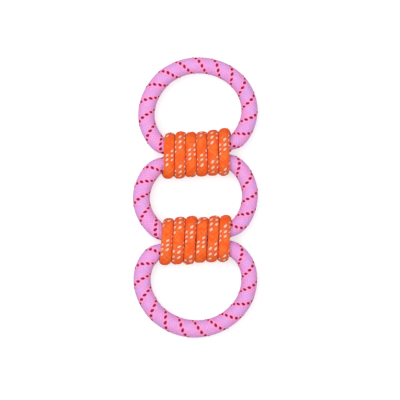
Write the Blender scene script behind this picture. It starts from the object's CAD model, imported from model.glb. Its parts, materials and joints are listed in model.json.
"""Looks of a rope tug toy: three braided rope rings bound in a row by two wound cords.

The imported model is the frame. Each plain sheath is braided here strand by strand, and each
core is laid up from straight yarns, in the very place of the solid that it stands for.
Lengths are in metres and angles in turns, unless a name says otherwise.
"""

import json
import logging
import math
from dataclasses import dataclass, field
from enum import Enum
from functools import partialmethod
from typing import ClassVar, NamedTuple

import bpy
import numpy as np
from bpy.types import Material, Node, NodeSocket, NodeTree, Object
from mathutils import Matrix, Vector


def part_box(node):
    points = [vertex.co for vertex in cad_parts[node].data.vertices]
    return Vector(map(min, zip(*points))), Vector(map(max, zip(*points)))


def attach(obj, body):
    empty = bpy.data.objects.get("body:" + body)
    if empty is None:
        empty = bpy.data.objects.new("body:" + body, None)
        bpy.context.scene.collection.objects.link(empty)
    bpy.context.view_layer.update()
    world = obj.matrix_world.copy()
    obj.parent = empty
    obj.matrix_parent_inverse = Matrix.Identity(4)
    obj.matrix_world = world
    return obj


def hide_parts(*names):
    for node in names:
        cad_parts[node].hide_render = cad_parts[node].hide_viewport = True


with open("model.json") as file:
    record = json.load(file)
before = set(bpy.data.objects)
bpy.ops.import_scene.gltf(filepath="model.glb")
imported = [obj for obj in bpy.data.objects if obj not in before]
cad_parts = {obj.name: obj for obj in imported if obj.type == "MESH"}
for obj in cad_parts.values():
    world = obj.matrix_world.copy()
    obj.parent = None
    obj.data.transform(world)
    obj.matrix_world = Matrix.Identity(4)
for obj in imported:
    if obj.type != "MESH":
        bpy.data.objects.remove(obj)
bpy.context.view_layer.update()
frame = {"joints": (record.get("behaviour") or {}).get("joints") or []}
LOG = logging.getLogger("rope_tug_toy")

UP = np.array([0.0, 0.0, 1.0])
WHITE = (1.0, 1.0, 1.0, 1.0)
UV_NAME = "braid"
SIDE_NAME = "sideways"
CROWN_SHARE = 0.95  # the share of a braid's relief that lies within its rope's full size
STRAND_EDGE = 0.05  # how softly one strand passes under another, in crowns
FLECK_EDGES = (0.75, 1.25)  # between which a fleck of tracer ends, in its own reach
FLECK_POWER = 3.0  # how square a fleck is: 2 is an oval
LEFT_NUMBER = 0.37  # sets the numbers of left-handed strands apart from the others
FILAMENT_STRETCH = (1.0, 1.0, 0.35)
APART = 1e-9  # points of a line that lie nearer than this are one

Array = np.ndarray
Colour = tuple[float, float, float, float]
Point = tuple[float, float]


class Slot(Enum):
    """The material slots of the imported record."""

    PINK_ROPE = "pink_rope"
    ORANGE_CORD = "orange_cord"
    CORE_FIBRE = "core_fibre"


class Construction(Enum):
    """How the strands of a tube lie to each other."""

    BRAID = "both ways round, over one and under one"
    BUNDLE = "side by side, one way round"


def colour(*screen: int) -> Colour:
    """Turns a screen colour, three values of 0 to 255, into the linear one of a socket."""
    shares = [value / 255 for value in screen]
    return (*(s / 12.92 if s <= 0.04045 else ((s + 0.055) / 1.055) ** 2.4 for s in shares), 1.0)


# ---- lines and their sections


def unit(vectors: Array) -> Array:
    """Returns the vectors at a length of one."""
    return vectors / np.linalg.norm(vectors, axis=-1, keepdims=True)


def travelled(places: Array) -> Array:
    """Returns how far along a line each of its points lies."""
    return np.append(0.0, np.cumsum(np.linalg.norm(np.diff(places, axis=0), axis=1)))


def smooth_step(values: Array) -> Array:
    """Returns a soft step from nought to one."""
    clipped = np.clip(values, 0.0, 1.0)
    return clipped * clipped * (3 - 2 * clipped)


@dataclass(frozen=True)
class Placement:
    """Where a piece lies: its origin, and its own first axis in the toy's plane."""

    origin: Array
    along: Array

    @property
    def axes(self) -> Array:
        """The piece's three axes, one in each row."""
        return np.stack([self.along, np.cross(UP, self.along), UP])

    def world(self, points: Array) -> Array:
        """Returns points of the piece's own axes in the toy's frame."""
        return self.origin + points @ self.axes

    def turned(self) -> "Placement":
        """Returns the placement turned half round about the vertical."""
        return Placement(self.origin, -self.along)


@dataclass
class Centreline:
    """The line down the middle of a rope, with the two axes of its section at each point."""

    places: Array
    first: Array
    second: Array
    distances: Array = field(init=False)
    length: float = field(init=False)

    def __post_init__(self) -> None:
        """Measures the line."""
        self.distances = travelled(self.places)
        self.length = float(self.distances[-1])

    def at(self, distances: Array) -> tuple[Array, Array, Array]:
        """Reads the line at some distances.

        Args:
            distances: How far along the line, each from zero to its length.

        Returns:
            The places and the section's first and second axes there.
        """
        places, first, second = (
            np.stack([np.interp(distances, self.distances, column) for column in values.T], 1)
            for values in (self.places, self.first, self.second))
        return places, unit(first), unit(second)


# ---- strands


@dataclass(frozen=True)
class Lay:
    """How the strands of a sheath or a core lie, and how finely they are meshed.

    Of every tracer_period right-handed strands, the first tracer_strands are tracers, which
    stand out further by the share tracer_lead.
    """

    construction: Construction
    strands: int
    length: float
    swell: float
    weave: float
    steps: int
    roundness: float = 0.6
    tracer_period: int = 6
    tracer_strands: int = 0
    tracer_lead: float = 0.0

    @property
    def half_steps(self) -> int:
        """Half steps of the mesh round the tube, and in one lay length along it."""
        return 2 * self.strands * self.steps

    @property
    def relief(self) -> float:
        """How far the strands' crowns stand out."""
        return self.swell + self.weave

    def height(self, right: Array, left: Array) -> Array:
        """Returns how far the strands stand out.

        Args:
            right: Whole mesh steps counted across the strands that wind right-handed.
            left: The same across those that wind left-handed.

        Returns:
            The height at each point, in metres.
        """
        over_right, over_left = (np.sin(math.pi * (count % self.steps) / self.steps)
                                 for count in (right, left))
        crown_right = self.swell * over_right ** self.roundness
        if self.construction is Construction.BUNDLE:
            return crown_right
        number = right // self.steps
        tracer = number % self.tracer_period < self.tracer_strands
        crown_right = crown_right * (1 + self.tracer_lead * tracer)
        crown_left = self.swell * over_left ** self.roundness
        side = 1 - 2 * ((number + left // self.steps) % 2)
        return np.maximum(crown_right + self.weave * side * over_left,
                          crown_left - self.weave * side * over_right)


@dataclass
class Bore:
    """The hollow in a sheath, which holds the core.

    half_sizes are given at the line's own distances. A bore without a reach runs out at both
    ends, and one with a reach is a closed hollow between those two distances.
    """

    half_sizes: Array
    reach: tuple[float, float] | None = None
    row_step: int = 8


@dataclass
class StrandedTube:
    """A tube of strands along a line, meshed so that its edges follow the strands.

    turns_along holds how many lays the strands have made at each of some distances, and
    roll how far they are rolled round the line there. half_sizes are half the section's sizes
    along its first and second axis, and a squareness of 2 makes it oval, and more than that
    fuller. Both are for the whole tube or at the line's own distances. samples is at how many
    places the lays are counted along the line. A tube without a bore is solid.
    """

    name: str
    line: Centreline
    lay: Lay
    half_sizes: Array
    stations: Array
    turns_along: Array
    roll: Array
    face_spread: float = 0.0
    squareness: float | Array = 2.0
    bore: Bore | None = None
    samples: int = 6000

    @property
    def through(self) -> bool:
        """Whether the bore runs out at both ends."""
        return self.bore is not None and self.bore.reach is None

    def build(self) -> Object:
        """Meshes the tube, with its columns and rows as the braid's UV map.

        Returns:
            The closed tube as a new object.
        """
        around = self.lay.half_steps
        fine = np.linspace(0.0, self.line.length, self.samples)
        lays = np.interp(fine, self.stations, self.turns_along)
        rows = np.arange(math.floor(lays[0] * around), math.ceil(lays[-1] * around) + 1)
        distances = np.interp(rows / around, lays, fine)
        bore_rows = self._bore_rows(distances)
        points = [self._skin(rows, distances, self.half_sizes, True)]
        if self.bore is not None:
            points.append(self._skin(rows[bore_rows], distances[bore_rows],
                                     self.bore.half_sizes, False))
        if not self.through:
            ends = [0, -1, *bore_rows[:1], *bore_rows[-1:]]
            points.append(self.line.at(distances[ends])[0])
        points = np.concatenate(points)
        faces, corners = self._faces(rows, rows[bore_rows])
        mesh = bpy.data.meshes.new(self.name)
        mesh.from_pydata(points.tolist(), [], faces)
        mesh.uv_layers.new(name=UV_NAME).data.foreach_set("uv", (corners / around).ravel())
        sideways = np.abs(np.sin(self._angles(rows, distances)[1])).ravel()
        sideways = np.append(sideways, np.zeros(len(points) - sideways.size))
        mesh.attributes.new(SIDE_NAME, "FLOAT", "POINT").data.foreach_set("value", sideways)
        mesh.shade_smooth()
        mesh.update()
        tube = bpy.data.objects.new(self.name, mesh)
        bpy.context.scene.collection.objects.link(tube)
        return tube

    def _angles(self, rows: Array, distances: Array) -> tuple[Array, Array]:
        """Finds where the points of some rows lie round the section.

        Args:
            rows: The rows of points, as whole numbers.
            distances: Where along the line each row lies.

        Returns:
            Each row's columns, and their angles in radians.
        """
        around = self.lay.half_steps
        roll = np.interp(distances, self.stations, self.roll)[:, None]
        column = (2 * np.arange(around // 2))[None, :] + (rows % 2)[:, None]
        angle = 2 * math.pi * (column / around + roll)
        return column, angle - self.face_spread * np.sin(2 * angle)

    def _bore_rows(self, distances: Array) -> Array:
        """Chooses the rows that the wall of the bore has points on.

        Args:
            distances: Where along the line each row lies.

        Returns:
            Which of the rows they are.
        """
        if self.bore is None:
            return np.array([], dtype=int)
        low, high = self.bore.reach or (distances[0], distances[-1])
        within = np.flatnonzero((distances >= low) & (distances <= high))
        return np.append(within[:-1:self.bore.row_step], within[-1])

    def _skin(self, rows: Array, distances: Array, half_sizes: Array, raised: bool) -> Array:
        """Lays points round the line.

        Args:
            rows: The rows of points, as whole numbers.
            distances: Where along the line each row lies.
            half_sizes: Half the section's sizes along its first and second axis.
            raised: Whether the strands stand out of it.

        Returns:
            The points, row by row.
        """
        own = self.line.distances
        first_size, second_size, square = (
            np.interp(distances, own, np.broadcast_to(values, own.shape))[:, None, None]
            for values in (*half_sizes.T, self.squareness))
        places, first, second = (values[:, None, :] for values in self.line.at(distances))
        column, angle = self._angles(rows, distances)
        height = self.lay.height((column - rows[:, None]) // 2, (column + rows[:, None]) // 2)
        cosine, sine = np.cos(angle)[:, :, None], np.sin(angle)[:, :, None]
        outward = unit(first * np.sign(cosine) * np.abs(cosine) ** (square - 1) * second_size
                       + second * np.sign(sine) * np.abs(sine) ** (square - 1) * first_size)
        fuller = (np.abs(cosine) ** square + np.abs(sine) ** square) ** (-1 / square)
        skin = places + fuller * (first * cosine * first_size + second * sine * second_size)
        if raised:
            skin += outward * height[:, :, None]
        return skin.reshape(-1, 3)

    def _faces(self, rows: Array, bore_rows: Array) -> tuple[list[list[int]], Array]:
        """Joins the points to a closed tube.

        Args:
            rows: The rows of the skin, as whole numbers.
            bore_rows: Those of them that the wall of the bore has points on.

        Returns:
            The faces, and for each of their corners its column and row.
        """
        columns = self.lay.half_steps // 2
        turn = np.arange(columns)
        first_row, last_row = int(rows[0]), int(rows[-1])
        bore_start = (last_row - first_row + 1) * columns
        last_bore = bore_start + (len(bore_rows) - 1) * columns
        faces, corners = [], []

        def index(column: Array, row: Array) -> Array:
            """Returns the number of the skin's point at a column and a row."""
            return (row - first_row) * columns + (column - row % 2) // 2 % columns

        def ring(start: int) -> list[Array]:
            """Returns the numbers of a row's points from start on, and of each one's next."""
            return [start + turn, start + (turn + 1) % columns]

        def span(row: int) -> list[tuple[Array, int]]:
            """Returns the columns and row of the same two points, and of one between them."""
            return [(2 * turn + row % 2 + step, row) for step in (0, 2, 1)]

        def hub(number: int) -> Array:
            """Returns the number of a middle point of an end, for each column."""
            return np.full_like(turn, last_bore + columns + number)

        def add(numbers: list[Array], places: list[tuple[Array, Array | int]]) -> None:
            """Adds a face for each column, from its corners' point numbers and places."""
            faces.extend(np.stack(numbers, axis=-1).reshape(-1, len(numbers)).tolist())
            pairs = [np.stack([c, np.broadcast_to(r, c.shape)], axis=-1) for c, r in places]
            corners.append(np.stack(pairs, axis=-2).reshape(-1, 2))

        # The skin's diamonds, between each row and the two beside it.
        row = np.repeat(rows[1:-1, None], columns, axis=1)
        middle = 2 * turn[None, :] + (1 - row % 2)
        diamond = [(middle - 1, row), (middle, row - 1), (middle + 1, row), (middle, row + 1)]
        add([index(*place) for place in diamond], diamond)
        # Its two ends, which lead over a lip into a through bore, or else are closed.
        for number, (end, bore, side) in enumerate(((first_row, bore_start, 1),
                                                    (last_row, last_bore, -1))):
            rim = ring((end - first_row) * columns)[::side]
            *edge, between = span(end)
            edge = edge[::side]
            tip = (between[0], end + side)
            add([*rim, index(*tip)], [*edge, tip])
            if self.through:
                add([*rim[::-1], *ring(bore)[::side]], [*edge[::-1], *edge])
            else:
                add([*rim[::-1], hub(number)], [*edge[::-1], between])
        # The wall of the bore, and its ends where it is a closed hollow.
        for number, (low, high) in enumerate(zip(bore_rows[:-1], bore_rows[1:])):
            near, far = (ring(bore_start + (number + k) * columns) for k in (0, 1))
            (low_one, low_next, _), (high_one, high_next, _) = span(low), span(high)
            add([near[0], far[0], far[1], near[1]], [low_one, high_one, high_next, low_next])
        if len(bore_rows) and not self.through:
            for number, (row, bore, side) in enumerate(((bore_rows[0], bore_start, 1),
                                                        (bore_rows[-1], last_bore, -1))):
                *edge, between = span(row)
                add([*ring(bore)[::side], hub(2 + number)], [*edge[::side], between])
        return faces, np.concatenate(corners).astype(float)


# ---- finishes


class Reading:
    """What nodes work out at each point of a surface. A number takes plain arithmetic."""

    def __init__(self, bench: "NodeBench", socket: NodeSocket) -> None:
        """Takes the bench whose nodes work it out, and the socket that puts it out."""
        self.bench, self.socket = bench, socket

    def maths(self, operation: str, *others: object, clamp: bool = False) -> "Reading":
        """Works on this number with a maths node.

        Args:
            operation: The node's operation.
            *others: What its other inputs take.
            clamp: Whether the result is kept from nought to one.

        Returns:
            The result.
        """
        return self.bench.read("ShaderNodeMath", dict(enumerate((self, *others))),
                               operation=operation, use_clamp=clamp)

    __add__ = partialmethod(maths, "ADD")
    __sub__ = partialmethod(maths, "SUBTRACT")
    __mul__ = partialmethod(maths, "MULTIPLY")
    __truediv__ = partialmethod(maths, "DIVIDE")
    __mod__ = partialmethod(maths, "FLOORED_MODULO")
    __pow__ = partialmethod(maths, "POWER")
    __abs__ = partialmethod(maths, "ABSOLUTE")

    def __rsub__(self, other: float) -> "Reading":
        """Returns a plain number less this one."""
        return self * -1.0 + other


class NodeBench:
    """Places and joins the nodes of one tree."""

    def __init__(self, tree: NodeTree) -> None:
        """Takes the material's, world's or group's tree that is worked on."""
        self.tree = tree

    def fill(self, node: Node, inputs: dict[str | int, object]) -> None:
        """Leads readings into a node's inputs, and sets the plain values there.

        Args:
            node: The node.
            inputs: What goes into each input, by its name or number.
        """
        for key, value in inputs.items():
            if isinstance(value, Reading):
                self.tree.links.new(value.socket, node.inputs[key])
            else:
                node.inputs[key].default_value = value

    def add(self, kind: str, inputs: dict[str | int, object], **settings: object) -> Node:
        """Places a node.

        Args:
            kind: The node's kind.
            inputs: What goes into each input, by its name or number.
            **settings: The node's other settings.

        Returns:
            The new node.
        """
        node = self.tree.nodes.new(kind)
        for name, value in settings.items():
            setattr(node, name, value)
        self.fill(node, inputs)
        return node

    def readings(self, node: Node) -> dict[str, Reading]:
        """Returns all that a node puts out, by name."""
        return {socket.name: Reading(self, socket) for socket in node.outputs}

    def read(self, kind: str, inputs: dict[str | int, object], output: str | int = 0,
             **settings: object) -> Reading:
        """Returns what a new node puts out, for which the rest is as in add."""
        return Reading(self, self.add(kind, inputs, **settings).outputs[output])

    def ramp(self, value: Reading, low: object, high: object, start: float = 0.0,
             end: float = 1.0) -> Reading:
        """Returns a soft step of a value, from start at low to end at high."""
        return self.read("ShaderNodeMapRange", {
            "Value": value, "From Min": low, "From Max": high, "To Min": start, "To Max": end},
            "Result", interpolation_type="SMOOTHSTEP")

    def mix(self, share: object, low: object, high: object, blend: str = "MIX") -> Reading:
        """Returns a mix of two colours."""
        return self.read("ShaderNodeMix", {0: share, 6: low, 7: high}, 2, data_type="RGBA",
                         blend_type=blend)

    def noise(self, vector: Reading, scale: object, detail: float,
              roughness: float = 0.5) -> Reading:
        """Returns a noise value on some coordinates."""
        return self.read("ShaderNodeTexNoise", {"Vector": vector, "Scale": scale,
                                                "Detail": detail, "Roughness": roughness}, "Fac")

    def seen(self) -> Reading:
        """Returns 1 for what the camera sees, also in a mirror or through glass, or else 0."""
        rays = self.readings(self.add("ShaderNodeLightPath", {}))
        mirrored = rays["Is Glossy Ray"].maths("MAXIMUM", rays["Is Transmission Ray"])
        return rays["Is Camera Ray"].maths("MAXIMUM", mirrored)


class GroupBench(NodeBench):
    """Makes a node group whose sockets are all numbers."""

    def __init__(self, name: str, inputs: dict[str, float]) -> None:
        """Starts the group.

        Args:
            name: The group's name.
            inputs: Each input's name and its first value.
        """
        super().__init__(bpy.data.node_groups.new(name, "ShaderNodeTree"))
        for label, value in inputs.items():
            self._socket(label, "INPUT").default_value = value
        self.given = self.readings(self.add("NodeGroupInput", {}))

    def _socket(self, label: str, way: str) -> bpy.types.NodeTreeInterfaceSocket:
        """Returns a new number socket of the group."""
        return self.tree.interface.new_socket(label, in_out=way, socket_type="NodeSocketFloat")

    def finish(self, outputs: dict[str, Reading]) -> NodeTree:
        """Returns the group, once it puts out these readings."""
        for label in outputs:
            self._socket(label, "OUTPUT")
        self.add("NodeGroupOutput", outputs)
        return self.tree


class MaterialBench(NodeBench):
    """Makes a material round its one shader."""

    def __init__(self, name: str) -> None:
        """Starts the material of this name."""
        self.material = bpy.data.materials.new(name)
        self.material.use_nodes = True
        super().__init__(self.material.node_tree)

    def group(self, tree: NodeTree, values: dict[str, float]) -> dict[str, Reading]:
        """Returns what a node group puts out for this material's own values."""
        return self.readings(self.add("ShaderNodeGroup", values, node_tree=tree))

    def finish(self, inputs: dict[str, object], height: Reading | None = None,
               strength: float = 0.0, depth: float = 0.0) -> Material:
        """Feeds the shader.

        Args:
            inputs: What goes into the shader's inputs.
            height: How high the surface stands, where it is rough.
            strength: How strongly that shows.
            depth: How deep it is, in metres.

        Returns:
            The material.
        """
        shader = self.tree.nodes["Principled BSDF"]
        self.fill(shader, inputs)
        if height is not None:
            self.fill(shader, {"Normal": self.read("ShaderNodeBump", {
                "Strength": strength, "Distance": depth, "Height": height})})
        return self.material


def strand_pattern_group() -> NodeTree:
    """Makes the group that says which strand shows at a point of a braid, and where on it.

    Returns:
        A group with the masks of the tracer strands and the heights of the yarns.
    """
    bench = GroupBench("braid strands", {
        "Strands": 12.0, "Weave share": 0.5, "Roundness": 0.6, "Tracer period": 6.0,
        "Tracer strands": 1.0, "Tracer lead": 0.0, "Tracer width": 1.0, "Tracer length": 1.5,
        "Halo": 0.7, "Yarns": 4.0})
    given = bench.given
    weave, period, tracers = (given[label] for label in (
        "Weave share", "Tracer period", "Tracer strands"))
    around_along = bench.read("ShaderNodeUVMap", {}, uv_map=UV_NAME)
    place = bench.readings(bench.add("ShaderNodeSeparateXYZ", {0: around_along}))
    right = (place["X"] - place["Y"]) * given["Strands"]
    left = (place["X"] + place["Y"]) * given["Strands"]
    right_number, left_number = right.maths("FLOOR"), left.maths("FLOOR")
    right_share, left_share = right.maths("FRACT"), left.maths("FRACT")
    right_sine, left_sine = ((share * math.pi).maths("SINE")
                             for share in (right_share, left_share))
    right_crown, left_crown = (sine.maths("MAXIMUM", 0.0) ** given["Roundness"]
                               for sine in (right_sine, left_sine))
    traced = (right_number % period).maths("LESS_THAN", tracers)
    untraced = 1.0 - traced
    swing = (1.0 - (right_number + left_number) % 2.0 * 2.0) * weave
    right_height = swing * left_sine + right_crown * (traced * given["Tracer lead"] + 1.0)
    left_height = left_crown - swing * right_sine
    shows = bench.ramp(right_height - left_height, -STRAND_EDGE, STRAND_EDGE)
    behind = 1.0 - shows
    half = tracers * 0.5
    from_band = (right - half) / period
    off_band = abs(from_band - from_band.maths("ROUND")) * period
    off_strand = traced * abs(right_share - 0.5) + untraced * (off_band - half + 0.5)
    step = (left - 0.5 - (right_number + untraced) % 2.0) * 0.5
    off_crossing = abs(step - step.maths("ROUND")) * 2.0
    away = ((off_strand / (given["Tracer width"] * 0.5)) ** FLECK_POWER
            + (off_crossing / (given["Tracer length"] * 0.5)) ** FLECK_POWER)
    fleck = bench.ramp(away, *FLECK_EDGES, 1.0, 0.0)
    across = shows * right_share + behind * left_share
    highest = right_height.maths("MAXIMUM", left_height)
    return bench.finish({
        "Tracer": fleck,
        "Tracer rim": traced * shows * (1.0 - fleck),
        "Beside tracer": bench.ramp(off_band, half, half + given["Halo"], 1.0, 0.0),
        "Crown": highest.maths("DIVIDE", weave + 1.0, clamp=True),
        "Yarn height": abs((across * given["Yarns"] * math.pi).maths("SINE")),
        "Strand number": shows * right_number + behind * (left_number + LEFT_NUMBER)})


def fibre_group() -> NodeTree:
    """Makes the group of mottle and stray filaments that all the yarns share.

    Returns:
        A group with a broad mottle, a fine mottle and a filament height.
    """
    bench = GroupBench("yarn fibres", {"Broad scale": 60.0, "Fine scale": 900.0,
                                       "Filament scale": 2600.0})
    spot = bench.read("ShaderNodeTexCoord", {}, "Object")
    stretched = bench.read("ShaderNodeMapping", {"Vector": spot, "Scale": FILAMENT_STRETCH})
    return bench.finish({
        "Broad": bench.noise(spot, bench.given["Broad scale"], 2.0),
        "Fine": bench.noise(spot, bench.given["Fine scale"], 3.0),
        "Filament": bench.noise(stretched, bench.given["Filament scale"], 3.0, 0.7)})


@dataclass(frozen=True)
class YarnFinish:
    """Braided yarn: its ground colour, its tracer strands and how it takes light.

    The shares say how strongly the colours beside the tracers and on the flanks show, pits
    how dark it is between the strands and uneven how much the strands differ. The tracers'
    width, length and halo are counted in strands. The pairs of numbers are where each effect
    starts and where it is full.
    """

    name: str
    ground: Colour
    mottle: Colour
    shaded: Colour
    tracer: Colour
    tracer_shaded: Colour
    rim: Colour
    beside: Colour
    side: Colour
    beside_share: float
    side_share: float
    tracer_width: float
    tracer_length: float
    halo: float
    pits: float
    mottle_scale: float
    lay: Lay
    yarns: int = 4
    pit_crowns: Point = (0.15, 0.85)
    mottle_edges: Point = (0.36, 0.64)
    flank_edges: Point = (0.75, 1.0)
    uneven: float = 0.15
    grain: float = 0.24
    roughness: float = 0.7
    pit_roughness: float = 0.2
    specular: float = 0.15
    filaments: float = 0.6
    bump_strength: float = 0.55
    bump_depth: float = 0.00014

    def make(self, pattern: NodeTree, fibres: NodeTree) -> Material:
        """Builds the material.

        Args:
            pattern: The group that tells the strands apart.
            fibres: The group of mottle and filaments.

        Returns:
            The new material.
        """
        bench, lay = MaterialBench(self.name), self.lay
        strand = bench.group(pattern, {
            "Strands": lay.strands, "Roundness": lay.roundness,
            "Weave share": lay.weave / lay.swell, "Tracer period": lay.tracer_period,
            "Tracer strands": lay.tracer_strands, "Tracer lead": lay.tracer_lead,
            "Tracer width": self.tracer_width, "Tracer length": self.tracer_length,
            "Halo": self.halo, "Yarns": self.yarns})
        fibre = bench.group(fibres, {"Broad scale": self.mottle_scale})
        low = bench.ramp(strand["Crown"], *self.pit_crowns, 1.0, 0.0)
        own = bench.read("ShaderNodeTexWhiteNoise", {"W": strand["Strand number"]}, "Value",
                         noise_dimensions="1D")
        depth = own.maths("MULTIPLY_ADD", self.uneven, low * self.pits, clamp=True)
        tone = bench.ramp(fibre["Broad"], *self.mottle_edges)
        ground = bench.mix(depth, bench.mix(tone, self.ground, self.mottle), self.shaded)
        ground = bench.mix(strand["Beside tracer"] * self.beside_share, ground, self.beside)
        whole = bench.mix(strand["Tracer rim"], ground, self.rim)
        whole = bench.mix(strand["Tracer"], whole,
                          bench.mix(depth, self.tracer, self.tracer_shaded))
        sideways = bench.read("ShaderNodeAttribute", {}, "Fac", attribute_name=SIDE_NAME)
        flank = bench.ramp(sideways, *self.flank_edges) * self.side_share
        grain = fibre["Fine"] * self.grain + (1 - self.grain / 2)
        whole = bench.mix(1.0, bench.mix(flank, whole, self.side), grain, "MULTIPLY")
        rough = low.maths("MULTIPLY_ADD", self.pit_roughness, self.roughness, clamp=True)
        height = fibre["Filament"] * self.filaments + strand["Yarn height"]
        return bench.finish({"Base Color": whole, "Roughness": rough,
                             "Specular IOR Level": self.specular},
                            height, self.bump_strength, self.bump_depth)


@dataclass(frozen=True)
class CoreFinish:
    """Undyed straight yarn, as in the cores."""

    name: str = "undyed core yarn"
    ground: Colour = colour(240, 237, 230)
    shaded: Colour = colour(205, 200, 190)
    roughness: float = 0.8
    bump_strength: float = 0.5
    bump_depth: float = 0.0001

    def make(self, fibres: NodeTree) -> Material:
        """Builds the material.

        Args:
            fibres: The group of mottle and filaments.

        Returns:
            The new material.
        """
        bench = MaterialBench(self.name)
        fibre = bench.group(fibres, {})
        tone = bench.mix(fibre["Broad"], self.ground, self.shaded)
        return bench.finish({"Base Color": tone, "Roughness": self.roughness},
                            fibre["Filament"], self.bump_strength, self.bump_depth)


# ---- sizes that the pieces share


@dataclass(frozen=True)
class ToySizes:
    """The sizes of the toy, as its solids have them."""

    clearance: float = 0.0003
    rope_diameter: float = 0.018
    bound_diameter: float = 0.0154
    sheath_wall: float = 0.002
    grip_taper: float = 0.020
    cord_width: float = 0.0114
    cord_thickness: float = 0.0093
    cord_wall: float = 0.0012
    turn_gap: float = 0.0005
    turns: int = 6
    mouth_inset: float = 0.0055
    binding_shift: float = 0.0068
    corner_shares: Point = (0.55, 0.42)
    crown_shares: Point = (0.53, 0.57)

    @property
    def run_spacing(self) -> float:
        """Between the middles of two bound runs."""
        return self.bound_diameter + self.clearance

    @property
    def winding_radius(self) -> float:
        """From the middle of a bound run to the middle of the cord."""
        return self.bound_diameter / 2 + self.clearance + self.cord_thickness / 2

    @property
    def turn_length(self) -> float:
        """The cord's way round both runs."""
        return 2 * self.run_spacing + 2 * math.pi * self.winding_radius

    @property
    def turn_pitch(self) -> float:
        """Between the middles of neighbouring turns."""
        step = self.cord_width + self.turn_gap
        return step / math.sqrt(1 - (step / self.turn_length) ** 2)

    @property
    def run_ends(self) -> Point:
        """How far a bound run reaches to its near and its far mouth."""
        half = (self.turns - 1) * self.turn_pitch / 2 + self.cord_width / 2
        return (half - self.turn_pitch / 4 - self.mouth_inset,
                half + self.turn_pitch / 4 - self.mouth_inset)


def quarter(start: Point, end: Point, shares: Point, steps: int = 90) -> Array:
    """Draws a quarter curve that leaves start along X and meets end along Y.

    Args:
        start: Where the curve starts.
        end: Where it ends.
        shares: How full the curve is at its start and at its end.
        steps: How many steps it is drawn in.

    Returns:
        The points of the curve.
    """
    first, last = np.array(start), np.array(end)
    first_handle = first + (last - first) * (shares[0], 0)
    last_handle = last + (first - last) * (0, shares[1])
    t = np.linspace(0, 1, steps + 1)[:, None]
    return ((1 - t) ** 3 * first + 3 * (1 - t) ** 2 * t * first_handle
            + 3 * (1 - t) * t * t * last_handle + t ** 3 * last)


def inward(places: Array) -> Array:
    """Returns which way a ring's hole lies from each point of its line."""
    return np.cross(UP, unit(np.gradient(places, axis=0)))


# ---- the rope and the cord


class Parts(NamedTuple):
    """What a piece is built of: its braid, its core's yarns and the line that both follow."""

    braid: Object
    yarns: Object
    line: Centreline


@dataclass
class BraidedPiece:
    """A length of rope or cord on its body: a braided sheath over a core of its own."""

    slot: ClassVar[Slot]
    body: str
    place: Placement
    sizes: ToySizes
    sheath_lay: Lay
    core_lay: Lay

    def core(self, line: Centreline, half_sizes: Array) -> Object:
        """Returns the core's yarns along a line, at half the sizes of their section."""
        ends = np.array([0.0, line.length])
        return StrandedTube(self.body + "_core_yarns", line, self.core_lay, half_sizes, ends,
                            ends / self.core_lay.length, np.zeros(2)).build()

    def dress(self, parts: Parts, sheath: Material, core: Material) -> None:
        """Puts the parts in the frame and gives them their materials.

        Args:
            parts: What build returned.
            sheath: The material of the braid.
            core: The material of the core's yarns.
        """
        for piece, node, slot, material in ((parts.braid, "_sheath", self.slot, sheath),
                                            (parts.yarns, "_core", Slot.CORE_FIBRE, core)):
            piece.data.materials.append(material)
            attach(piece, self.body)
            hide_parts(self.body + node)
        LOG.info("%s: %.1f mm of %s, %d faces", self.body, parts.line.length * 1000,
                 self.slot.value, len(parts.braid.data.polygons))


class Laying(NamedTuple):
    """How a ring's rope lies at one distance from the middle of its bound run.

    line says where the tracer strands are, and dash where they come up, both in turns, and
    girth is the rope's share of its full size.
    """

    distance: float
    line: float
    dash: float
    girth: float = 1.0


class Nudge(NamedTuple):
    """A place where the rope lies nearer to its ring's hole than on its even route."""

    distance: float
    reach: float
    amount: float


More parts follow.
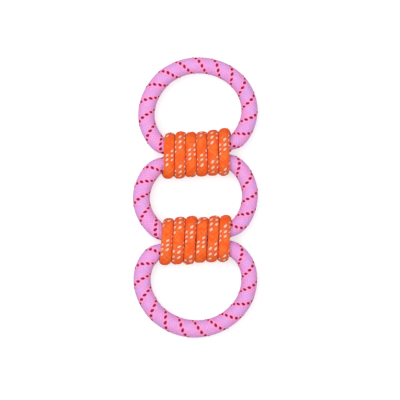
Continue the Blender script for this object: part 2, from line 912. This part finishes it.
@dataclass
class RopeRing(BraidedPiece):
    """One ring of pink rope, its ends butted in the middle of a bound run.

    Its radius is less by pinch under a winding's last turn, and less far off up to
    pinch_reach. strand_room is the room for the core's strands, in times their swell.
    """

    route: list[Array]
    mouths: tuple[int, ...]
    layings: tuple[Laying, ...]
    nudges: tuple[Nudge, ...]
    pinch: float = 0.0006
    pinch_reach: float = 0.010
    face_spread: float = 0.05
    strand_room: float = 1.2
    path_points: int = 160
    slot: ClassVar[Slot] = Slot.PINK_ROPE

    def centreline(self) -> tuple[Centreline, list[float]]:
        """Lays the rope's middle along its route.

        Returns:
            The ring's line, and the distances of the windings' mouths along it.
        """
        flat = np.concatenate(self.route)
        places = self.place.world(np.column_stack([flat, np.zeros(len(flat))]))
        distances = travelled(places)
        marks = np.cumsum([len(part) for part in self.route])
        mouths = [float(distances[marks[number] - order % 2])
                  for order, number in enumerate(self.mouths)]
        apart = np.append(True, np.linalg.norm(np.diff(flat, axis=0), axis=1) > APART)
        places, distances = places[apart], distances[apart]
        for distance, reach, amount in self.nudges:
            away = np.clip(np.abs(distances - distance) / reach, 0, 1)
            places = places + inward(places) * amount * (1 + np.cos(math.pi * away))[:, None] / 2
        return Centreline(places, inward(places), np.broadcast_to(UP, places.shape)), mouths

    def radii(self, line: Centreline, mouths: list[float]) -> Array:
        """Finds how thick the rope is: pinched under each winding's last turn.

        Args:
            line: The ring's line.
            mouths: The distances of the windings' mouths along it.

        Returns:
            The rope's radius at the line's own distances.
        """
        free, pinched = np.zeros((2, len(line.distances)))
        for enter, leave in zip(mouths[::2], mouths[1::2]):
            inside = np.minimum(line.distances - enter, leave - line.distances)
            free = np.maximum(free, smooth_step(inside / self.sizes.grip_taper))
            away = np.abs(inside - self.sizes.mouth_inset / 2) / self.pinch_reach
            pinched = np.maximum(pinched, smooth_step(1 - away))
        distances, _, _, girths = np.array(self.layings).T
        girth = np.interp(line.distances, distances, girths)
        bound, full = self.sizes.bound_diameter / 2, self.sizes.rope_diameter / 2
        return bound + (full * girth - bound) * free - self.pinch * pinched

    def build(self) -> Parts:
        """Braids the sheath so that its tracers lie as they should, and lays up the core.

        Returns:
            The ring's parts.
        """
        line, mouths = self.centreline()
        radii = self.radii(line, mouths)
        lay = self.sheath_lay
        stations, ahead, dashes, _ = np.array(self.layings).T
        stations = np.array([0.0, *stations, line.length])
        ahead, dashes = (np.pad(values, 1, mode="edge") for values in (ahead, dashes))
        hollow = radii - self.sizes.sheath_wall
        inside = hollow - self.sizes.clearance - self.core_lay.swell * self.strand_room
        skin, hollow, inside = (np.stack([values] * 2, axis=1) for values in (
            radii - lay.relief * CROWN_SHARE, hollow, inside))
        braid = StrandedTube(self.body + "_braid", line, lay, skin, stations,
                             stations / lay.length + (ahead - dashes) / 2,
                             (ahead + dashes) / 2 - 0.5 / lay.strands, self.face_spread,
                             bore=Bore(hollow)).build()
        return Parts(braid, self.core(line, inside), line)

    def declare(self, parts: Parts) -> None:
        """Args:
            parts: What build returned.
        """
        line = parts.line
        path, _, _ = line.at(np.linspace(0.0, line.length, self.path_points))


@dataclass
class CordBinding(BraidedPiece):
    """One winding of orange cord round two bound runs.

    rises says how far up the front of each turn the middle of its light flecks lies, and
    rolls how far the cord is rolled there. The lifts say how far a turn stands out at its top
    and its bottom, the slides how far it is moved there along the runs, and the waists by what
    share the cord is narrower at the middle of the front. The ends are thinned to tail_share
    and slid in by tail_slide, and the section grows from end_squareness to squareness over
    end_stretch, in turns from either end.
    """

    rises: tuple[float, ...]
    rolls: tuple[float, ...]
    top_lifts: tuple[float, ...]
    bottom_lifts: tuple[float, ...]
    top_slides: tuple[float, ...]
    bottom_slides: tuple[float, ...]
    waists: tuple[float, ...]
    waist_reach: float = 0.14
    width_limit: float = 0.07
    tail_share: float = 0.46
    tail_slide: float = 0.0036
    tail_steps: int = 40
    end_round: float = 0.0022
    tip_share: float = 0.05
    side_press: float = 0.00025
    squareness: float = 2.6
    end_squareness: float = 2.1
    end_stretch: tuple[float, float] = (0.88, 1.08)
    core_room: Point = (0.001, 0.0022)
    front_hold: float = 0.2
    lay_stretch: float = 1.06
    samples: int = 5200
    slot: ClassVar[Slot] = Slot.ORANGE_CORD

    @property
    def whole(self) -> float:
        """The cord's way round all the turns."""
        return self.sizes.turns * self.sizes.turn_length

    def _section(self, distance: Array) -> tuple[Array, Array]:
        """Follows the cord round the two runs.

        Args:
            distance: How far it has gone from the middle of the back.

        Returns:
            Where across the runs it turns about, and the angle that it faces, in radians.
        """
        half, arc = self.sizes.run_spacing / 2, math.pi * self.sizes.winding_radius
        local = np.mod(distance, self.sizes.turn_length)
        corners = np.cumsum([0.0, half, arc, 2 * half, arc, half])
        centre = np.interp(local, corners, [0.0, -half, -half, half, half, 0.0])
        return centre, -math.pi * np.interp(local, corners, [0.5, 0.5, 1.5, 1.5, 2.5, 2.5])

    def _bottoms_and_tops(self) -> Array:
        """Returns how far the cord has gone at each turn's bottom and top, in their order."""
        sizes = self.sizes
        rise = sizes.run_spacing / 2 + math.pi * sizes.winding_radius / 2
        starts = np.arange(sizes.turns)[:, None] * sizes.turn_length
        return (starts + [rise, sizes.turn_length - rise]).ravel()

    def _lift(self, distance: Array) -> Array:
        """Returns how far each point of the cord stands out past the even winding."""
        reach = math.pi * self.sizes.winding_radius / 2
        lifts = np.column_stack([self.bottom_lifts, self.top_lifts]).ravel()
        return sum(lift * smooth_step(1 - np.abs(distance - place) / reach)
                   for place, lift in zip(self._bottoms_and_tops(), lifts))

    def _eased(self, distance: Array, bottoms: Array, tops: Array) -> Array:
        """Eases a value from each turn's bottom to its top and on to the next turn's bottom.

        Args:
            distance: How far the cord has gone from the middle of the back.
            bottoms: The value at each turn's bottom.
            tops: The value at each turn's top.

        Returns:
            The value at each distance.
        """
        tail = self.sizes.run_spacing / 2
        places = np.array([tail, *self._bottoms_and_tops(), self.whole - tail])
        values = np.array([0.0, *np.column_stack([bottoms, tops]).ravel(), 0.0])
        number = np.clip(np.searchsorted(places, distance) - 1, 0, len(places) - 2)
        share = (distance - places[number]) / (places[number + 1] - places[number])
        return values[number] + (values[number + 1] - values[number]) * smooth_step(share)

    def _width_shares(self, distance: Array) -> Array:
        """Finds how wide the cord is pressed, as its neighbours leave it room.

        Args:
            distance: How far the cord has gone from the middle of the back.

        Returns:
            Its share of the full width at each distance.
        """
        shares = []
        for slides in (self.bottom_slides, self.top_slides):
            room = np.pad(np.diff(slides) / self.sizes.turn_pitch, 1, mode="edge")
            room = (room[:-1] + room[1:]) / 2
            shares.append(np.clip(room, -self.width_limit, self.width_limit))
        width = 1 + self._eased(distance, *shares)
        for turn, waist in enumerate(self.waists):
            away = np.abs(distance / self.sizes.turn_length - turn - 0.5)
            width -= waist * smooth_step(1 - away / self.waist_reach)
        return width

    def centreline(self) -> tuple[Centreline, Array, Array]:
        """Winds the cord's middle round the runs.

        Returns:
            The cord's line, its shares of full size, and where its turns' fronts are.
        """
        sizes, tail = self.sizes, self.tail_steps
        half = sizes.run_spacing / 2
        distance = np.linspace(half, self.whole - half, self.samples)
        centre, facing = self._section(distance)
        lift = self._lift(distance)
        pressed = np.minimum(lift, 0) / 2
        radius = sizes.winding_radius + np.maximum(lift, 0) + pressed
        length = (distance / self.whole - 0.5) * sizes.turns * sizes.turn_pitch
        length += self._eased(distance, self.bottom_slides, self.top_slides)
        level = np.zeros_like(centre)
        out = np.column_stack([level, np.cos(facing), np.sin(facing)])
        body = np.column_stack([length, centre, level]) + radius[:, None] * out
        shares = np.column_stack([1 + pressed * 2 / sizes.cord_thickness,
                                  self._width_shares(distance)])
        local, out, shares = (
            np.concatenate([first[::-1], main, last])
            for first, main, last in zip(self._tail(-1), (body, out, shares), self._tail(1)))
        places, out = self.place.world(local), out @ self.place.axes
        tangents = unit(np.gradient(places, axis=0))
        out = unit(out - tangents * (out * tangents).sum(axis=1)[:, None])
        line = Centreline(places, out, np.cross(tangents, out))
        fronts = np.interp((np.arange(sizes.turns) + 0.5) * sizes.turn_length, distance,
                           line.distances[tail:-tail])
        return line, shares, fronts

    def _tail(self, side: int) -> tuple[Array, Array, Array]:
        """Rolls a thinned end over a run into the groove at the back.

        Args:
            side: -1 for the first end and 1 for the last.

        Returns:
            The points from the full cord to the end, where they face, and their size.
        """
        sizes = self.sizes
        half = sizes.run_spacing / 2
        progress = np.linspace(0, 1, self.tail_steps + 1)[1:]
        shares = 1 - (1 - self.tail_share) * progress
        across = half * (1 - progress)
        away = sizes.winding_radius - (1 - shares) * sizes.cord_thickness / 2
        deep = -np.sqrt(away ** 2 - (half - across) ** 2)
        length = (sizes.turns / 2 - across / sizes.turn_length) * sizes.turn_pitch
        length = (length - self.tail_slide * progress ** 1.5) * side
        out = np.column_stack([np.zeros_like(across), (across - half) * side, deep])
        return (np.column_stack([length, across * side, deep]), unit(out),
                np.column_stack([shares, shares]))

    def build(self) -> Parts:
        """Braids the sheath, presses it flat where it lies on the floor, and lays up the core.

        Returns:
            The winding's parts.
        """
        sizes, lay, tail = self.sizes, self.sheath_lay, self.tail_steps
        line, shares, fronts = self.centreline()
        full = np.array([sizes.cord_thickness, sizes.cord_width]) / 2
        to_end = np.minimum(line.distances, line.length - line.distances)
        rounded = np.sqrt(1 - (1 - np.clip(to_end / self.end_round, 0, 1)) ** 2)
        skin = (full + (0.0, self.side_press) - lay.relief * CROWN_SHARE) * shares
        low, high = self.end_stretch
        crowded = smooth_step((to_end / sizes.turn_length - low) / (high - low))
        square = self.end_squareness + (self.squareness - self.end_squareness) * crowded
        overrun = self.end_round / 2
        bore = Bore(full * shares - sizes.cord_wall,
                    (line.distances[tail] - overrun, line.distances[-1 - tail] + overrun))
        braid = StrandedTube(self.body + "_braid", line, lay,
                             skin * np.maximum(rounded, self.tip_share)[:, None],
                             *self._phases(line, fronts), squareness=square, bore=bore).build()
        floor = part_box(self.body + "_sheath")[0].z
        for vertex in braid.data.vertices:
            vertex.co.z = max(vertex.co.z, floor)
        inner = Centreline(*(values[tail:-tail] for values in (
            line.places, line.first, line.second)))
        return Parts(braid, self.core(inner, full - sizes.cord_wall - self.core_room), line)

    def _phases(self, line: Centreline, fronts: Array) -> tuple[Array, Array, Array]:
        """Sets the braid so that its light flecks lie as they should on each turn's front.

        Args:
            line: The cord's line.
            fronts: The distances along it of the turns' fronts.

        Returns:
            Distances along the line, and the lays made and the roll there.
        """
        lay = self.sheath_lay
        hold = self.front_hold * self.sizes.turn_length
        middle_column = 0.5 / lay.strands
        band = middle_column - 0.25
        stations, lays, rolls = [], [], []
        before = None
        for front, rise, roll in zip(fronts, self.rises, self.rolls):
            made = band - rise / lay.length
            if before is not None:
                expected = before + self.sizes.turn_length / (self.lay_stretch * lay.length)
                made += round(expected - made)
            before = made
            stations += [front - hold, front + hold]
            lays += [made - hold / lay.length, made + hold / lay.length]
            rolls += [roll - middle_column] * 2
        first, last = stations[0], line.length - stations[-1]
        lays = [lays[0] - first / lay.length, *lays, lays[-1] + last / lay.length]
        return (np.array([0.0, *stations, line.length]), np.array(lays),
                np.pad(rolls, 1, mode="edge"))


# ---- the studio


@dataclass
class Studio:
    """A pale floor, soft lamps and the camera that looks straight down on the toy."""

    floor_size: float = 6.0
    floor_drop: float = 0.0002
    floor_grey: float = 0.6
    floor_roughness: float = 0.9
    floor_glow: float = 0.55
    view_width: float = 0.432
    view_height: float = 0.017
    camera_place: tuple[float, float, float] = (0.0047, -0.0030, 2.0)
    clip_range: Point = (0.05, 20.0)
    sensor: float = 36.0
    key_power: float = 16.6
    key_size: float = 1.2
    key_place: tuple[float, float, float] = (-0.45, 0.35, 1.5)
    fill_power: float = 5.81
    fill_size: float = 1.4
    fill_place: tuple[float, float, float] = (0.7, -0.5, 1.3)
    world_strength: float = 0.49

    def build(self) -> None:
        """Sets the stage, the lamps, the world and the camera."""
        self._floor()
        self._lamp("key_softbox", self.key_place, self.key_size, self.key_power)
        self._lamp("fill_softbox", self.fill_place, self.fill_size, self.fill_power)
        self._world()
        self._camera()
        bpy.context.scene.view_settings.view_transform = "Standard"

    def _floor(self) -> None:
        """Makes the floor that shows as white and keeps the toy's soft shadow."""
        bpy.ops.mesh.primitive_grid_add(x_subdivisions=4, y_subdivisions=4, size=self.floor_size,
                                        location=(0.0, 0.0, -self.floor_drop))
        floor = bpy.context.object
        floor.name = "studio_floor"
        bench = MaterialBench("pale floor")
        floor.data.materials.append(bench.finish({
            "Base Color": (*[self.floor_grey] * 3, 1.0), "Roughness": self.floor_roughness,
            "Specular IOR Level": 0.0, "Emission Color": WHITE,
            "Emission Strength": bench.seen() * self.floor_glow}))

    def _lamp(self, name: str, place: tuple[float, float, float], size: float,
              power: float) -> None:
        """Hangs a square softbox that faces the toy.

        Args:
            name: The lamp's name.
            place: Where it hangs.
            size: How wide it is.
            power: Its power, in watts.
        """
        data = bpy.data.lights.new(name, "AREA")
        data.shape, data.size, data.energy = "SQUARE", size, power
        lamp = bpy.data.objects.new(name, data)
        lamp.location = place
        lamp.rotation_euler = (-Vector(place)).to_track_quat("-Z", "Y").to_euler()
        bpy.context.scene.collection.objects.link(lamp)

    def _world(self) -> None:
        """Fills in from all round, and shows as white past the floor."""
        world = bpy.data.worlds.new("studio")
        world.use_nodes = True
        bench = NodeBench(world.node_tree)
        strength = bench.seen() * (1.0 - self.world_strength) + self.world_strength
        bench.fill(world.node_tree.nodes["Background"], {"Color": WHITE, "Strength": strength})
        bpy.context.scene.world = world

    def _camera(self) -> None:
        """Sets the camera above the toy, straight down, to see view_width at view_height."""
        data = bpy.data.cameras.new("photo_view")
        data.sensor_width = self.sensor
        data.lens = self.sensor * (self.camera_place[2] - self.view_height) / self.view_width
        data.clip_start, data.clip_end = self.clip_range
        camera = bpy.data.objects.new("photo_view", data)
        camera.location = self.camera_place
        bpy.context.scene.collection.objects.link(camera)
        bpy.context.scene.camera = camera


# ---- the toy


@dataclass
class RopeTugToy:
    """The whole toy: three rings in a row and the two windings between them."""

    sizes: ToySizes = ToySizes()
    rope_lay: Lay = Lay(Construction.BRAID, strands=12, length=0.037, swell=0.0004,
                        weave=0.0002, steps=5, tracer_strands=1, tracer_lead=0.5)
    cord_lay: Lay = Lay(Construction.BRAID, strands=6, length=0.0289, swell=0.00042,
                        weave=0.0002, steps=7, tracer_strands=3)
    rope_core_lay: Lay = Lay(Construction.BUNDLE, strands=14, length=0.22, swell=0.0005,
                             weave=0.0, steps=3)
    cord_core_lay: Lay = Lay(Construction.BUNDLE, strands=9, length=0.16, swell=0.0003,
                             weave=0.0, steps=3)

    def hinge(self, name: str) -> Placement:
        """Returns the place of a joint, with its axis along the bound runs."""
        joint = next(item for item in frame["joints"] if item["name"] == name)
        return Placement(np.array(joint["pos_m"], float), unit(np.array(joint["axis"], float)))

    def between(self, one: str, other: str) -> Placement:
        """Returns the place halfway between two joints."""
        first, second = self.hinge(one), self.hinge(other)
        return Placement((first.origin + second.origin) / 2, first.along)

    def loop(self, middle: Point, run: tuple[Point, Point], sides: tuple[Point, Point],
             far: tuple[Point, Point], far_shares: Point) -> list[Array]:
        """Draws a ring's line, from the middle of its near run and round to it.

        Args:
            middle: The middle of the near run.
            run: The run's left and right end.
            sides: The places of the left and the right side.
            far: The left and right end of what is opposite the run.
            far_shares: How full the curves are there.

        Returns:
            The parts of the line.
        """
        near_shares, butt = self.sizes.corner_shares, self.sizes.clearance / 2
        (x, y), (west, east) = middle, sides
        return [np.array([[x + butt, y]]), quarter(run[1], east, near_shares),
                quarter(far[1], east, far_shares)[::-1], quarter(far[0], west, far_shares),
                quarter(run[0], west, near_shares)[::-1], np.array([[x - butt, y]])]

    def outer_route(self, left: Point, right: Point, crown: Point) -> list[Array]:
        """Draws an end ring's line.

        Args:
            left: How far the left side swings out past the run, and its height.
            right: The same of the right side.
            crown: The place of the crown.

        Returns:
            The parts of the line.
        """
        near, far = self.sizes.run_ends
        return self.loop((0.0, 0.0), ((-near, 0.0), (far, 0.0)),
                         ((-near - left[0], left[1]), (far + right[0], right[1])),
                         (crown, crown), self.sizes.crown_shares)

    def middle_route(self, left_reach: float, right_reach: float, rise: float,
                     height: float) -> list[Array]:
        """Draws the middle ring's line.

        Args:
            left_reach: How far the left side swings out past the upper run.
            right_reach: The same of the right side.
            rise: How far above the middle the sides are widest.
            height: How far the runs lie from the middle.

        Returns:
            The parts of the line.
        """
        near, far = self.sizes.run_ends
        shift = self.sizes.binding_shift / 2
        return self.loop((-shift, -height), ((-shift - near, -height), (far - shift, -height)),
                         ((shift - far - left_reach, rise), (shift + near + right_reach, rise)),
                         ((shift - far, height), (shift + near, height)),
                         self.sizes.corner_shares)

    def rings(self) -> list[RopeRing]:
        """Sets out the rings.

        Returns:
            The three rings, top first.
        """
        reach = np.linalg.norm(self.hinge("upper_binding_fold").origin
                               - self.hinge("lower_binding_fold").origin)
        height = math.sqrt(reach ** 2 - self.sizes.binding_shift ** 2) / 2
        shared = {"sizes": self.sizes, "sheath_lay": self.rope_lay,
                  "core_lay": self.rope_core_lay}
        top = RopeRing(
            body="top_ring", place=self.hinge("top_ring_fold"), mouths=(0, 4),
            route=self.outer_route((0.0241, 0.0339), (0.0266, 0.0397), (0.0038, 0.088)),
            layings=(Laying(0.036, -0.230, -0.085), Laying(0.060, -0.188, -0.085),
                     Laying(0.080, -0.179, -0.061, 0.978), Laying(0.100, -0.151, -0.054, 0.978),
                     Laying(0.125, -0.092, -0.022, 0.983), Laying(0.150, -0.055, 0.006, 0.969),
                     Laying(0.180, -0.048, 0.056, 0.972), Laying(0.210, -0.020, 0.092),
                     Laying(0.240, 0.022, 0.118, 0.994), Laying(0.270, 0.039, 0.116, 0.990),
                     Laying(0.290, 0.033, 0.100)),
            nudges=(Nudge(0.034, 0.015, 0.0014), Nudge(0.074, 0.028, -0.0006),
                    Nudge(0.150, 0.050, -0.0002), Nudge(0.200, 0.012, -0.0003),
                    Nudge(0.245, 0.030, -0.0004)), **shared)
        centre = RopeRing(
            body="middle_ring", mouths=(0, 2, 2, 4),
            place=self.between("upper_binding_fold", "lower_binding_fold"),
            route=self.middle_route(0.0293, 0.0279, 0.0013, height),
            layings=(Laying(0.036, 0.002, -0.040, 0.960), Laying(0.058, 0.039, 0.004, 0.950),
                     Laying(0.080, 0.055, 0.024, 0.955), Laying(0.102, 0.092, 0.051, 0.972),
                     Laying(0.126, 0.093, 0.039, 0.980), Laying(0.205, 0.027, 0.021, 1.033),
                     Laying(0.225, 0.068, 0.042, 1.036), Laying(0.248, 0.089, 0.019, 1.018),
                     Laying(0.270, 0.125, -0.006, 1.022), Laying(0.296, 0.013, -0.034, 1.040)),
            nudges=(Nudge(0.062, 0.020, -0.0004), Nudge(0.110, 0.018, -0.0005),
                    Nudge(0.262, 0.014, -0.0003), Nudge(0.284, 0.012, 0.0004)), **shared)
        bottom = RopeRing(
            body="bottom_ring", place=self.hinge("bottom_ring_fold").turned(), mouths=(0, 4),
            route=self.outer_route((0.0284, 0.0331), (0.0274, 0.0309), (0.0019, 0.0877)),
            layings=(Laying(0.036, 0.117, -0.050, 1.020), Laying(0.060, 0.134, -0.034, 1.028),
                     Laying(0.085, 0.179, -0.033, 1.044), Laying(0.110, 0.213, -0.011, 1.046),
                     Laying(0.135, 0.222, 0.015, 1.068), Laying(0.160, 0.185, 0.071, 1.060),
                     Laying(0.190, 0.182, 0.144, 0.993), Laying(0.220, 0.181, 0.186, 0.978),
                     Laying(0.250, 0.171, 0.185, 0.960), Laying(0.275, 0.194, 0.198, 0.960),
                     Laying(0.296, 0.192, 0.184, 0.960)),
            nudges=(Nudge(0.052, 0.014, -0.0004), Nudge(0.075, 0.012, 0.0004),
                    Nudge(0.117, 0.014, -0.0003), Nudge(0.230, 0.030, -0.0003),
                    Nudge(0.275, 0.018, -0.0004)), **shared)
        return [top, centre, bottom]

    def bindings(self) -> list[CordBinding]:
        """Sets out the windings.

        Returns:
            The two windings, upper first.
        """
        shared = {"sizes": self.sizes, "sheath_lay": self.cord_lay,
                  "core_lay": self.cord_core_lay}
        upper = CordBinding(
            body="upper_binding", place=self.between("upper_binding_fold", "top_ring_fold"),
            rises=(-0.0044, 0.0129, 0.0001, -0.0063, -0.0137, 0.008),
            rolls=(-0.064, 0.004, -0.038, -0.01, -0.018, 0.025),
            top_lifts=(0.0004, 0.0009, -0.0003, -0.0006, 0.0004, 0.0017),
            bottom_lifts=(-0.0006, 0.0, -0.0008, -0.0009, -0.001, 0.0),
            top_slides=(-0.0002, -0.0006, -0.0014, -0.0018, -0.0016, -0.0014),
            bottom_slides=(0.0011, 0.0012, 0.0015, 0.0015, 0.0013, 0.0011),
            waists=(0.0, 0.0, 0.0, 0.0, 0.02, 0.03), **shared)
        lower = CordBinding(
            body="lower_binding", place=self.between("lower_binding_fold", "bottom_ring_fold"),
            rises=(-0.0027, -0.0102, 0.009, -0.0019, -0.0092, 0.0077),
            rolls=(0.031, 0.028, 0.034, 0.061, 0.095, 0.019),
            top_lifts=(0.001, 0.0015, 0.0017, -0.0004, 0.0005, 0.0005),
            bottom_lifts=(-0.0003, -0.0004, 0.0006, -0.0006, -0.0004, 0.0002),
            top_slides=(-0.0006, -0.0001, 0.0004, 0.0008, 0.001, 0.0011),
            bottom_slides=(-0.0012, -0.0004, 0.0003, 0.0006, 0.001, 0.0014),
            waists=(0.0, 0.0, 0.05, 0.08, 0.06, 0.0), **shared)
        return [upper, lower]

    def make(self) -> None:
        """Builds and dresses every piece."""
        pattern, fibres = strand_pattern_group(), fibre_group()
        pink = YarnFinish(
            name="pink rope yarn", ground=colour(240, 158, 218), mottle=colour(226, 168, 232),
            shaded=colour(198, 134, 192), tracer=colour(146, 16, 76),
            tracer_shaded=colour(118, 10, 62), rim=colour(216, 96, 146),
            beside=colour(252, 152, 198), side=colour(186, 140, 190), beside_share=1.0,
            side_share=0.0, tracer_width=1.25, tracer_length=1.1, halo=1.0, pits=0.6,
            mottle_scale=150.0, lay=self.rope_lay).make(pattern, fibres)
        orange = YarnFinish(
            name="orange cord yarn", ground=colour(250, 92, 30), mottle=colour(244, 116, 46),
            shaded=colour(222, 74, 24), tracer=colour(255, 192, 166),
            tracer_shaded=colour(250, 166, 138), rim=colour(208, 104, 66),
            beside=colour(224, 100, 50), side=colour(255, 132, 70), beside_share=0.5,
            side_share=0.4, tracer_width=0.52, tracer_length=0.95, halo=0.4, pits=0.3,
            mottle_scale=170.0, lay=self.cord_lay).make(pattern, fibres)
        core = CoreFinish().make(fibres)
        for ring in self.rings():
            parts = ring.build()
            ring.dress(parts, pink, core)
            ring.declare(parts)
        for binding in self.bindings():
            binding.dress(binding.build(), orange, core)


def write_sizes() -> None:
    """Writes the CAD box and the visual model's box."""
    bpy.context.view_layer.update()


def main() -> None:
    """Builds the studio and the toy."""
    logging.basicConfig(level=logging.INFO, format="%(message)s")
    bpy.ops.object.select_all(action="DESELECT")
    Studio().build()
    LOG.info("studio: floor, lamps and camera are set")
    RopeTugToy().make()
    write_sizes()


if __name__ == "__main__":
    main()
